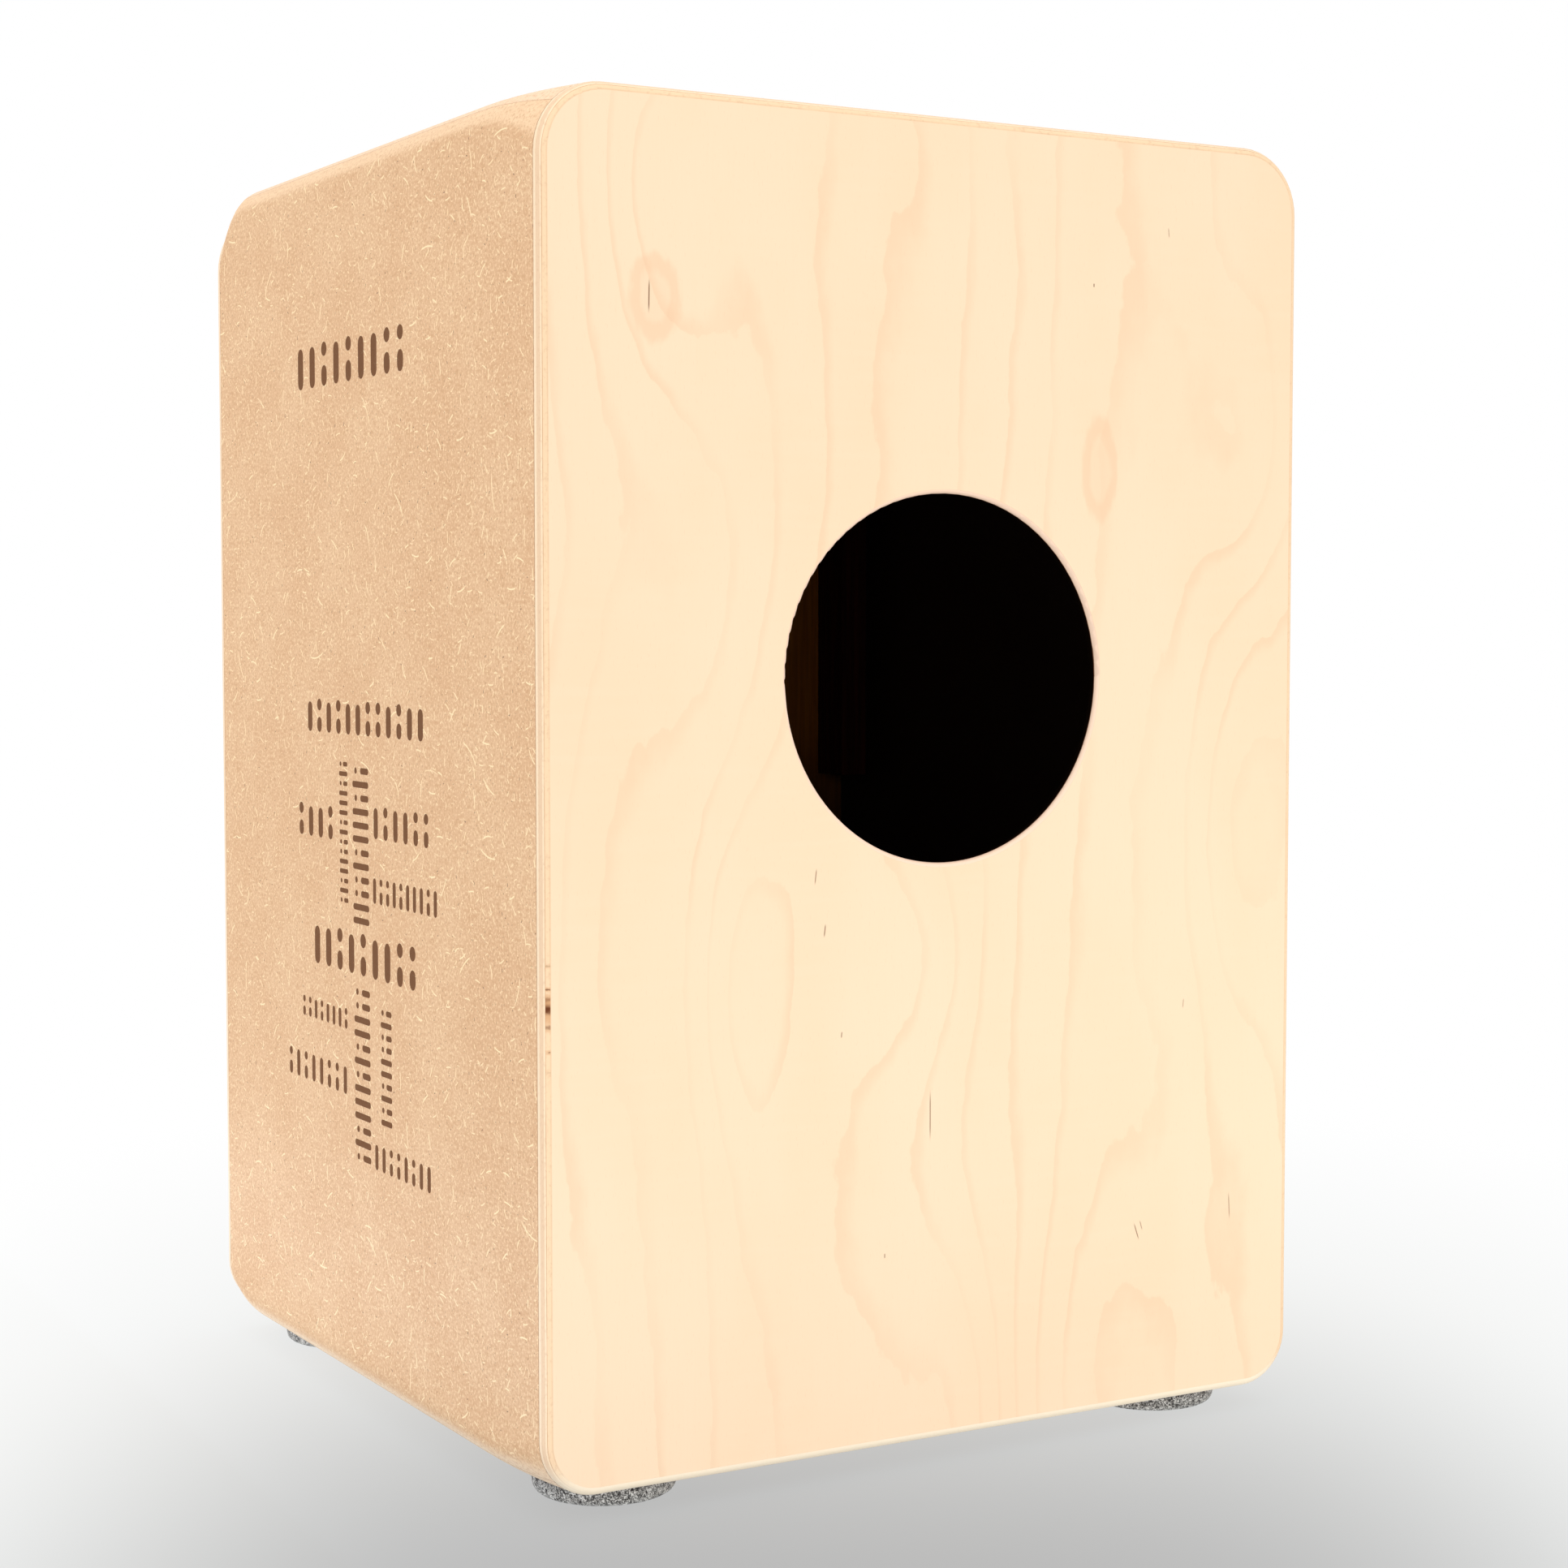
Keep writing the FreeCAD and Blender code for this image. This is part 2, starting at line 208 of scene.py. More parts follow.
def linear(red, green, blue):
    """A linear colour from 0 to 255 display values."""
    def channel(value):
        value /= 255
        return value / 12.92 if value <= 0.04045 else ((value + 0.055) / 1.055) ** 2.4
    return (channel(red), channel(green), channel(blue), 1.0)


# ---------------------------------------------------------------- materials: fibreboard

MDF_FACE = linear(214, 170, 127)
MDF_PALE = linear(220, 179, 137)
MDF_DEEP = linear(198, 149, 104)
MDF_FIBRE = linear(250, 222, 176)
MDF_SPECK = linear(116, 78, 50)
MDF_CORE = linear(241, 206, 166)
MDF_CORE_SEAT = linear(246, 212, 178)
# Painted light: a paler core colour near the base stands in for light from below.
MDF_CORE_LIT_FROM_BELOW = linear(252, 228, 198)
CORE_STARTS, CORE_FULL = 0.02 * MM, 1.1 * MM     # depths below the face
MITRE_LINE = linear(190, 148, 112)
SEAM_LINE = linear(146, 96, 58)
# Painted shade: the dark colour of the box's inner faces stands in for the shade inside it.
INTERIOR_SHADE = linear(30, 17, 10)
INK = linear(110, 75, 54)


def fibreboard_face(graph, u, v):
    """Colour of a sanded and oiled MDF face, and the height of its surface."""
    flat = graph.vector(u, v)
    cloud = graph.noise(flat, 22.0, 3.0, 0.6)
    grain = graph.noise(flat, 900.0, 3.0, 0.7)
    mottle = graph.noise(flat, 260.0, 2.0, 0.6)
    colour = graph.blend(graph.step(cloud, 0.35, 0.65), MDF_FACE, MDF_PALE)
    colour = graph.blend(graph.step(mottle, 0.48, 0.72, 0.0, 0.45), colour, MDF_DEEP)
    colour = graph.blend(graph.step(grain, 0.5, 0.68, 0.0, 0.65), colour, MDF_DEEP)
    colour = graph.blend(graph.step(grain, 0.5, 0.34, 0.0, 0.5), colour, MDF_FIBRE)
    layers = (
        # cell, length, width, share, bend, strength
        (2.6, 1.5, 0.36, 0.40, 60.0, 0.60),
        (4.5, 2.8, 0.40, 0.40, 90.0, 0.80),
        (8.0, 4.6, 0.46, 0.50, 60.0, 0.90),
        (13.0, 7.0, 0.52, 0.45, 45.0, 1.00),
        (30.0, 14.0, 0.50, 0.35, 25.0, 1.00),
    )
    for number, (cell, length, width, share, bend, strength) in enumerate(layers):
        strands = graph.fibres(u, v, cell * MM, length * MM, width * MM, share, bend, 2.0,
                               0.31 * (number + 1))
        colour = graph.blend(graph.times(strands, strength), colour, MDF_FIBRE)
    for number, (cell, length, width, share, strength) in enumerate(
            ((3.0, 0.8, 0.30, 0.35, 0.60), (9.0, 1.3, 0.36, 0.35, 0.90))):
        specks = graph.fibres(u, v, cell * MM, length * MM, width * MM, share, 0.0, 2.0, 2.3 + number)
        colour = graph.blend(graph.times(specks, strength), colour, MDF_SPECK)
    return colour, grain


def fibreboard_depths(graph):
    """Depth below the side faces and below the seat or base face."""
    below_side = graph.minus(SIDE_X, graph.size(graph.x))
    below_top = graph.minus(HALF_HEIGHT, graph.size(graph.minus(graph.z, MIDDLE_Z)))
    return below_side, below_top


def fibreboard(name, plane, core):
    """MDF with a pale streaked core on the rounded edges, a fine mitre line and painted shade on the inside
    faces.

    The core is palest at the base, where light from below is painted in.
    """
    graph = Graph(name, Roughness=0.55)
    graph.shader.inputs["Specular IOR Level"].default_value = 0.35
    below_side, below_top = fibreboard_depths(graph)
    if plane == "side":
        u, v, depth = graph.y, graph.z, below_side
    else:
        u, v, depth = graph.x, graph.y, below_top
    colour, grain = fibreboard_face(graph, u, v)
    streaks = graph.noise(graph.stretched(900.0, 26.0, 900.0), 1.0, 3.0, 0.6)
    # Painted light: the core turns paler towards the base, for light bounced up from the floor.
    base_bounce_light = graph.step(graph.z, BOTTOM_Z + 3 * MM, BOTTOM_Z + 13 * MM, 1.0, 0.0)
    core_colour = graph.blend(base_bounce_light, core, MDF_CORE_LIT_FROM_BELOW)
    core_colour = graph.blend(graph.step(streaks, 0.35, 0.68, 0.0, 0.25), core_colour, MDF_FACE)
    core_colour = graph.blend(graph.step(grain, 0.48, 0.68, 0.0, 0.6), core_colour, MDF_DEEP)
    narrowed = graph.times(depth, graph.step(graph.z, BOTTOM_Z, TOP_Z, 0.45, 1.0))
    colour = graph.blend(graph.step(narrowed, CORE_STARTS, CORE_FULL, 0.0, 0.92), colour, core_colour)
    mitre = graph.stroke(graph.minus(below_side, below_top), 0.08 * MM, 0.25 * MM)
    colour = graph.blend(graph.times(mitre, 0.8), colour, MITRE_LINE)
    for seam in (REAR_SEAM_Y, FRONT_SEAM_Y):
        line = graph.stroke(graph.minus(graph.y, seam), 0.25 * MM, 0.35 * MM)
        colour = graph.blend(graph.times(line, 0.5), colour, SEAM_LINE)
    # Painted shade: the inner faces, a wall's thickness below the outside, are coloured dark.
    inside = graph.step(depth, WALL - 0.4 * MM, WALL - 0.2 * MM)
    colour = graph.blend(inside, colour, INTERIOR_SHADE)
    graph.bump(grain, 0.06 * MM, 0.35)
    return graph.finish(colour)


def ink_on_fibreboard():
    """Dark brown ink that lets some of the board's texture through."""
    graph = Graph("printed_ink", Roughness=0.6)
    graph.shader.inputs["Specular IOR Level"].default_value = 0.0
    board, grain = fibreboard_face(graph, graph.y, graph.z)
    colour = graph.blend(0.94, board, INK)
    colour = graph.blend(graph.step(grain, 0.62, 0.75, 0.0, 0.35), colour, MDF_DEEP)
    graph.bump(grain, 0.06 * MM, 0.3)
    return graph.finish(colour)


# ---------------------------------------------------------------- materials: plywood

VENEER = linear(243, 215, 182)
VENEER_WARM = linear(243, 213, 179)
VENEER_PALE = linear(244, 216, 184)
VENEER_LINE = linear(231, 190, 152)
VENEER_CRACK = linear(120, 84, 60)
PLY_PALE = linear(245, 219, 186)
# Painted light: paler ply edge colour near the base, for light from below.
PLY_LIT_FROM_BELOW = linear(253, 241, 217)
PLY_CROSS = linear(230, 199, 166)
PLY_WARM = linear(241, 209, 171)
PLY_STREAK = linear(206, 168, 132)
PLY_GLUE = linear(204, 160, 122)
PLY_KNOT = linear(104, 54, 24)
PLY_KNOT_HALO = linear(206, 150, 100)
HOLE_EDGE = linear(246, 214, 188)
HOLE_BROWN = linear(120, 78, 54)
# Black paint of the hole wall, also used as painted shade on the back's inner face.
HOLE_PAINT_AND_SHADE = linear(14, 7, 4)
HOLE_BORDER = 64.5 * MM     # radius inside which the depth colours are those of the sound hole


def veneer_figure(graph, rise, hills, seed, spacing):
    """Rotary cut figure: the growth rings are level lines of a slope with a few hills and hollows in it."""
    wander = graph.noise(graph.stretched(9.0, 1.0, 2.6, (seed, 0.0, seed)), 1.0, 2.0, 0.55)
    ripple = graph.noise(graph.stretched(60.0, 1.0, 26.0, (0.0, 0.0, seed)), 1.0, 2.0, 0.6)
    jags = graph.noise(graph.stretched(170.0, 1.0, 95.0, (0.0, 0.0, seed)), 1.0, 3.0, 0.65)
    height = graph.plus(graph.times(graph.x, 1 / spacing), graph.times(wander, rise),
                        graph.times(ripple, 0.4), graph.times(jags, 0.16))
    for x, z, reach_x, reach_z, lift in hills:
        across = graph.squared(graph.times(graph.minus(graph.x, x * MM), 1 / (reach_x * MM)))
        along = graph.squared(graph.times(graph.minus(graph.z, z * MM), 1 / (reach_z * MM)))
        bell = graph.math("EXPONENT", graph.times(graph.plus(across, along), -1.0))
        height = graph.plus(height, graph.times(bell, lift))
    return graph.math("FRACT", height)


def veneer_face(graph, hills, seed, spacing=26 * MM, rise=5.0):
    """Colour of a sanded rotary cut face veneer, and its fine grain."""
    ring = veneer_figure(graph, rise, hills, seed, spacing)
    shown = graph.noise(graph.stretched(16.0, 1.0, 9.0, (seed, 0.0, 0.0)), 1.0, 2.0, 0.5)
    late = graph.times(graph.step(ring, 0.74, 0.97), graph.step(ring, 0.975, 1.0, 1.0, 0.0),
                       graph.step(shown, 0.36, 0.62, 0.25, 1.0))
    early = graph.step(ring, 0.0, 0.9)
    fine = graph.noise(graph.stretched(1500.0, 60.0, 45.0), 1.0, 3.0, 0.65)
    shimmer = graph.noise(graph.stretched(25.0, 1.0, 300.0, (seed, 0.0, 0.0)), 1.0, 2.0, 0.5)
    patches = graph.noise(graph.stretched(14.0, 1.0, 6.0, (0.0, 0.0, seed + 3.0)), 1.0, 3.0, 0.6)
    pores = graph.fibres(graph.x, graph.z, 3.0 * MM, 1.6 * MM, 0.16 * MM, 0.55, 0.0, 0.0, seed)
    colour = graph.blend(graph.step(patches, 0.35, 0.65), VENEER_PALE, VENEER_WARM)
    colour = graph.blend(graph.times(early, 0.22), colour, VENEER)
    colour = graph.blend(graph.step(fine, 0.4, 0.75, 0.0, 0.35), colour, VENEER_WARM)
    colour = graph.blend(graph.step(shimmer, 0.45, 0.75, 0.0, 0.35), colour, VENEER_PALE)
    colour = graph.blend(graph.times(late, 0.36), colour, VENEER_LINE)
    colour = graph.blend(graph.times(pores, 0.22), colour, VENEER_LINE)
    return colour, fine


def oval_patch(graph, colour, x, z, half_width, half_height):
    """A healed knot: a darker ring with a paler middle."""
    across = graph.times(graph.minus(graph.x, x), 1 / half_width)
    along = graph.times(graph.minus(graph.z, z), 1 / half_height)
    wobble = graph.noise(graph.stretched(220.0, 1.0, 90.0), 1.0, 2.0, 0.6)
    reach = graph.plus(graph.length(across, along), graph.times(wobble, 0.5), -0.25)
    ring = graph.stroke(graph.minus(reach, 0.85), 0.08, 0.28)
    middle = graph.step(reach, 0.4, 0.9, 1.0, 0.0)
    colour = graph.blend(graph.times(ring, 0.42), colour, VENEER_LINE)
    return graph.blend(graph.times(middle, 0.18), colour, VENEER_LINE)


def dashes(graph, colour, marks):
    """Short dark mineral dashes: x, z, length, lean and strength each."""
    for x, z, length, lean, strength in marks:
        across = graph.minus(graph.x, x * MM)
        along = graph.minus(graph.z, z * MM)
        offset = graph.plus(across, graph.times(along, lean))
        line = graph.stroke(offset, 0.10 * MM, 0.22 * MM)
        inside = graph.step(graph.size(along), length * 0.2 * MM, length * 0.5 * MM, 1.0, 0.0)
        colour = graph.blend(graph.times(line, inside, strength), colour, VENEER_CRACK)
    return colour


def ply_edge(graph, depth, layers, glue_lines):
    """Colour of the sawn edge of plywood, by depth below its face. layers: (from depth, colour)."""
    streaks = graph.noise(graph.stretched(40.0, 2600.0, 40.0), 1.0, 2.0, 0.6)
    spots = graph.noise(graph.stretched(700.0, 1800.0, 700.0), 1.0, 2.0, 0.6)
    colour = layers[0][1]
    for start, tone in layers[1:]:
        colour = graph.blend(graph.step(depth, (start - 0.06) * MM, (start + 0.06) * MM), colour, tone)
    colour = graph.blend(graph.step(streaks, 0.45, 0.75, 0.0, 0.3), colour, PLY_WARM)
    colour = graph.blend(graph.step(spots, 0.50, 0.72, 0.0, 0.3), colour, PLY_STREAK)
    breaks = graph.noise(graph.stretched(60.0, 1.0, 60.0), 1.0, 2.0, 0.6)
    for line, strength in glue_lines:
        mark = graph.stroke(graph.minus(depth, line * MM), 0.03 * MM, 0.07 * MM)
        shown = graph.step(breaks, 0.3, 0.6, 0.35 * strength, strength)
        colour = graph.blend(graph.times(mark, shown), colour, PLY_GLUE)
    return colour


REAR_HILLS = (
    # x, z, reach across, reach along the grain, lift in rings
    (92.0, 300.0, 30.0, 62.0, 1.6),
    (78.0, 170.0, 18.0, 52.0, -1.5),
    (-5.0, 20.0, 26.0, 70.0, 1.7),
    (-70.0, 18.0, 34.0, 78.0, -2.2),
    (-128.0, 350.0, 26.0, 60.0, 2.0),
    (-128.0, 210.0, 22.0, 70.0, -1.6),
    (10.0, 170.0, 26.0, 40.0, 1.2),
    (110.0, 420.0, 24.0, 50.0, -1.2),
)
REAR_KNOTS = (
    # x, z, half width, half height
    (110.0, 389.0, 8.5, 13.0),
    (-63.0, 339.0, 7.0, 17.0),
)
REAR_EDGE_KNOTS = (
    # z, half length, strength
    (165.7, 2.6, 1.0),
    (168.8, 1.2, 0.5),
    (160.1, 1.0, 0.55),
    (171.9, 0.35, 0.7),
    (152.1, 0.35, 0.6),
    (179.3, 0.35, 0.3),
    (145.8, 0.4, 0.2),
)
REAR_DASHES = (
    # x, z, length, lean, strength
    (112.0, 389.0, 12.0, 0.02, 0.9),
    (51.0, 203.0, 6.0, 0.12, 0.7),
    (47.5, 185.0, 5.0, 0.12, 0.8),
    (41.0, 150.0, 2.5, 0.1, 0.7),
    (6.0, 120.0, 19.0, 0.0, 0.75),
    (-60.0, 402.0, 1.6, 0.0, 0.9),
    (-92.0, 422.0, 4.0, -0.1, 0.5),
    (-81.0, 71.0, 7.0, -0.35, 0.8),
    (-83.0, 73.0, 4.0, -0.3, 0.6),
    (-122.5, 76.0, 11.0, -0.05, 0.6),
    (-101.0, 151.0, 4.0, 0.1, 0.5),
    (24.0, 74.0, 2.0, 0.0, 0.7),
)


def rear_plywood():
    """Birch plywood back: figured face, five plies on the rounded edge with painted light near the base, a
    hole wall in black paint and painted shade on the inside face.
    """
    graph = Graph("birch_plywood_back")
    face, fine = veneer_face(graph, REAR_HILLS, 4.0)
    for knot in REAR_KNOTS:
        face = oval_patch(graph, face, *(measure * MM for measure in knot))
    face = dashes(graph, face, REAR_DASHES)
    depth = graph.minus(REAR_Y, graph.y)
    layers = ((0.0, PLY_WARM), (0.72, PLY_PALE), (1.15, PLY_CROSS), (2.5, PLY_PALE))
    glue = ((0.02, 0.3), (0.66, 0.9), (1.15, 0.2), (2.5, 0.2))
    edge = ply_edge(graph, depth, layers, glue)
    # Painted light: the edge turns paler towards the base, for light bounced up from the floor.
    base_bounce_light = graph.step(graph.z, BOTTOM_Z + 2 * MM, BOTTOM_Z + 14 * MM, 0.8, 0.0)
    edge = graph.blend(base_bounce_light, edge, PLY_LIT_FROM_BELOW)
    outer_ply = graph.band(depth, 0.04 * MM, 0.66 * MM, 0.05 * MM)
    cross_ply = graph.times(outer_ply, graph.step(graph.x, 0.0, 1 * MM))
    cloud = graph.noise(graph.stretched(500.0, 500.0, 700.0), 1.0, 3.0, 0.7)
    for z, half_length, strength in REAR_EDGE_KNOTS:
        away = graph.plus(graph.size(graph.minus(graph.z, z * MM)), graph.times(cloud, 1.6 * MM), -0.8 * MM)
        halo = graph.step(away, half_length * MM, (half_length * 1.8 + 0.5) * MM, 1.0, 0.0)
        knot = graph.step(away, half_length * 0.1 * MM, half_length * MM, 1.0, 0.0)
        edge = graph.blend(graph.times(halo, cross_ply, strength * 0.7), edge, PLY_KNOT_HALO)
        edge = graph.blend(graph.times(knot, cross_ply, strength), edge, PLY_KNOT)
    colour = graph.blend(graph.step(depth, 0.004 * MM, 0.03 * MM), face, edge)
    from_axis_z = graph.minus(graph.z, SOUND_HOLE["pos_m"][2])
    radius = graph.length(graph.x, from_axis_z)
    near_hole = graph.step(radius, HOLE_BORDER, HOLE_BORDER + 0.5 * MM, 1.0, 0.0)
    colour = graph.blend(graph.times(near_hole, graph.step(depth, 0.0, 0.06 * MM)), colour, HOLE_EDGE)
    colour = graph.blend(graph.times(near_hole, graph.step(depth, 1.15 * MM, 1.35 * MM)), colour, HOLE_BROWN)
    wall = graph.times(near_hole, graph.step(depth, 1.45 * MM, 1.6 * MM))
    # Painted shade: the back's inner face is coloured near black like the black hole wall.
    inside = graph.step(graph.y, REAR_SEAM_Y + 0.03 * MM, REAR_SEAM_Y + 0.06 * MM, 1.0, 0.0)
    black_paint_and_shade = graph.math("MAXIMUM", wall, inside)
    colour = graph.blend(black_paint_and_shade, colour, HOLE_PAINT_AND_SHADE)
    graph.bump(fine, 0.03 * MM, 0.25)
    graph.feed(graph.shader.inputs["Specular IOR Level"], graph.step(black_paint_and_shade, 0.0, 1.0, 0.15, 0.0))
    return graph.finish(colour, graph.step(black_paint_and_shade, 0.0, 1.0, 0.45, 1.0))


# Painted shade: dark orange-brown tones of the playing surface's inner face.
INSIDE_SHADE_DEEP = linear(156, 86, 18)
INSIDE_SHADE_PALE = linear(188, 110, 28)
FRONT_HILLS = (
    # x, z, reach across, reach along the grain, lift in rings
    (40.0, 60.0, 40.0, 110.0, 3.2),
    (-60.0, 130.0, 34.0, 90.0, -2.6),
    (-10.0, 330.0, 30.0, 80.0, 2.2),
    (95.0, 300.0, 26.0, 70.0, -2.0),
    (-110.0, 380.0, 24.0, 60.0, 1.8),
)


def front_plywood():
    """Thin three-ply playing surface, with painted shade on its inner face."""
    graph = Graph("playing_surface_veneer", Roughness=0.38)
    graph.shader.inputs["Specular IOR Level"].default_value = 0.4
    face, fine = veneer_face(graph, FRONT_HILLS, 11.0, 21 * MM, 4.0)
    depth = graph.minus(graph.y, FRONT_Y)
    layers = ((0.0, PLY_PALE), (1.0, PLY_WARM), (2.0, PLY_PALE))
    edge = ply_edge(graph, depth, layers, ((1.0, 0.7), (2.0, 0.7)))
    colour = graph.blend(graph.step(depth, 0.7 * MM, 0.95 * MM), face, edge)
    grain = graph.noise(graph.stretched(700.0, 60.0, 22.0), 1.0, 3.0, 0.6)
    # Painted shade: the inner face is dark orange-brown with grain, and darker still towards the bottom.
    inside_shade_colour = graph.blend(graph.step(grain, 0.3, 0.7, 0.0, 0.6), INSIDE_SHADE_DEEP, INSIDE_SHADE_PALE)
    inside_shade_colour = graph.blend(graph.step(graph.z, 200 * MM, 250 * MM, 0.7, 0.0), inside_shade_colour, INTERIOR_SHADE)
    inside = graph.step(graph.y, FRONT_SEAM_Y - 0.05 * MM, FRONT_SEAM_Y - 0.02 * MM)
    colour = graph.blend(inside, colour, inside_shade_colour)
    graph.bump(fine, 0.03 * MM, 0.25)
    return graph.finish(colour)


# ---------------------------------------------------------------- materials: inner wood, steel, felt

# Painted shade: near black tones for the inner frame, which sits in the shade inside the box.
BATTEN_DARK, BATTEN_LIGHT = linear(44, 12, 5), linear(70, 22, 9)
RAIL_DARK, RAIL_LIGHT = linear(40, 18, 8), linear(66, 32, 14)
ZINC = linear(196, 196, 190)
DRAWN_STEEL = linear(180, 182, 184)


def shade_darkened_wood(name, along, dark, light):
    """Solid wood of the inner frame, darkened with painted shade, with the grain along one axis."""
    graph = Graph(name, Roughness=0.8)
    graph.shader.inputs["Specular IOR Level"].default_value = 0.1
    scales = {"x": (20.0, 500.0, 500.0), "z": (500.0, 500.0, 20.0)}[along]
    grain = graph.noise(graph.stretched(*scales), 1.0, 4.0, 0.65)
    rings = graph.noise(graph.stretched(*(scale / 5 for scale in scales)), 1.0, 2.0, 0.5, 1.5)
    colour = graph.blend(graph.step(grain, 0.35, 0.7), dark, light)
    colour = graph.blend(graph.step(rings, 0.5, 0.65, 0.0, 0.5), colour, dark)
    graph.bump(grain, 0.08 * MM, 0.4)
    return graph.finish(colour)


def steel(name, tone, roughness):
    """Zinc plated or drawn steel, with fine wear and drawing lines."""
    graph = Graph(name, Metallic=1.0)
    blur = graph.noise(graph.place, 900.0, 3.0, 0.6)
    scratches = graph.noise(graph.stretched(4000.0, 4000.0, 300.0), 1.0, 2.0, 0.6)
    dull = tuple(channel * 0.72 for channel in tone[:3]) + (1.0,)
    colour = graph.blend(graph.step(blur, 0.4, 0.7, 0.0, 0.7), tone, dull)
    graph.bump(scratches, 0.01 * MM, 0.3)
    return graph.finish(colour, graph.step(blur, 0.3, 0.75, roughness, roughness + 0.18))


FELT_GREY = linear(154, 153, 149)
FELT_DARK = linear(48, 46, 46)
FELT_PALE = linear(240, 239, 234)


def wool_felt():
    """Pressed grey wool felt: pale and dark fibres in tufts, with painted shade at the top under the body."""
    graph = Graph("grey_wool_felt", Roughness=0.95)
    graph.shader.inputs["Sheen Weight"].default_value = 0.25
    graph.shader.inputs["Specular IOR Level"].default_value = 0.1
    tuft = graph.noise(graph.place, 420.0, 4.0, 0.75, 1.2)
    fuzz = graph.noise(graph.place, 1000.0, 3.0, 0.7, 1.5)
    colour = graph.blend(graph.step(tuft, 0.38, 0.56), FELT_DARK, FELT_GREY)
    colour = graph.blend(graph.step(fuzz, 0.50, 0.59, 0.0, 0.80), colour, FELT_PALE)
    colour = graph.blend(graph.step(fuzz, 0.42, 0.49, 0.80, 0.0), colour, FELT_DARK)
    around = graph.math("ARCTAN2", graph.y, graph.x)
    for number, (cell, length, width, share) in enumerate(((2.2, 1.9, 0.16, 0.8), (3.4, 3.0, 0.2, 0.7))):
        wall_plane = graph.plus(graph.times(around, 0.5), graph.x, graph.y)
        strands = graph.fibres(wall_plane, graph.z, cell * MM, length * MM, width * MM, share, 250.0, 2.0,
                               0.7 + number)
        colour = graph.blend(graph.times(strands, 0.75), colour, FELT_PALE if number else FELT_DARK)
    # Painted shade: the felt darkens towards its top, where the body shades it.
    colour = graph.blend(graph.step(graph.z, BOTTOM_Z - 4.0 * MM, BOTTOM_Z, 0.0, 0.65), colour, FELT_DARK)
    graph.bump(graph.plus(tuft, fuzz), 0.35 * MM, 0.8)
    return graph.finish(colour)


# ---------------------------------------------------------------- pieces: felt feet

FOOT_SEGMENTS = 160
FOOT_RINGS = 30
FOOT_LOWER_ROUNDING = 2.6 * MM
FOOT_BULGE = 0.5 * MM
FOOT_FUZZ = 0.22 * MM


def foot_profile(radius, height):
    """Radius and height of the side of a foot, from the floor up: a soft lower edge and a slight bulge."""
    points = []
    for step in range(FOOT_RINGS + 1):
        if step <= FOOT_RINGS // 3:
            angle = math.pi / 2 * step / (FOOT_RINGS // 3)
            points.append((radius - FOOT_LOWER_ROUNDING * (1 - math.sin(angle)),
                           FOOT_LOWER_ROUNDING * (1 - math.cos(angle))))
        else:
            share = (step - FOOT_RINGS // 3) / (FOOT_RINGS - FOOT_RINGS // 3)
            points.append((radius + FOOT_BULGE * math.sin(math.pi * share) - FOOT_BULGE * 0.6 * share,
                           FOOT_LOWER_ROUNDING + (height - FOOT_LOWER_ROUNDING) * share))
    return points


def felt_foot(node, material):
    """A pressed felt disc with a slightly uneven, fuzzy side in place of the plain CAD foot."""
    low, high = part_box(node)
    centre = (low + high) / 2
    radius = (high.x - low.x) / 2 - FOOT_BULGE
    mesh = bmesh.new()
    rings = []
    for ring_radius, height in foot_profile(radius, high.z - low.z):
        ring = []
        for segment in range(FOOT_SEGMENTS):
            angle = math.tau * segment / FOOT_SEGMENTS
            out = Vector((math.cos(angle), math.sin(angle), 0.0))
            point = centre + out * ring_radius
            point.z = low.z + height
            lump = noise.noise(point * 260) + 0.6 * noise.noise(point * 900)
            held = min(1.0, height / FOOT_LOWER_ROUNDING)
            ring.append(mesh.verts.new(point + out * lump * FOOT_FUZZ * held))
        rings.append(ring)
    for lower, upper in zip(rings, rings[1:]):
        for segment in range(FOOT_SEGMENTS):
            following = (segment + 1) % FOOT_SEGMENTS
            mesh.faces.new((lower[segment], lower[following], upper[following], upper[segment]))
    mesh.faces.new(list(reversed(rings[0])))
    mesh.faces.new(rings[-1])
    foot = finished_piece(mesh, node.replace("felt_foot", "felt_pad"), material)
    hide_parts(node)
    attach(foot, BODY)


def finished_piece(mesh, name, material):
    """A smooth shaded object from a bmesh."""
    bmesh.ops.recalc_face_normals(mesh, faces=mesh.faces)
    data = bpy.data.meshes.new(name)
    mesh.to_mesh(data)
    mesh.free()
    data.materials.append(material)
    data.shade_smooth()
    piece = bpy.data.objects.new(name, data)
    bpy.context.scene.collection.objects.link(piece)
    return piece


# ---------------------------------------------------------------- pieces: printed marks

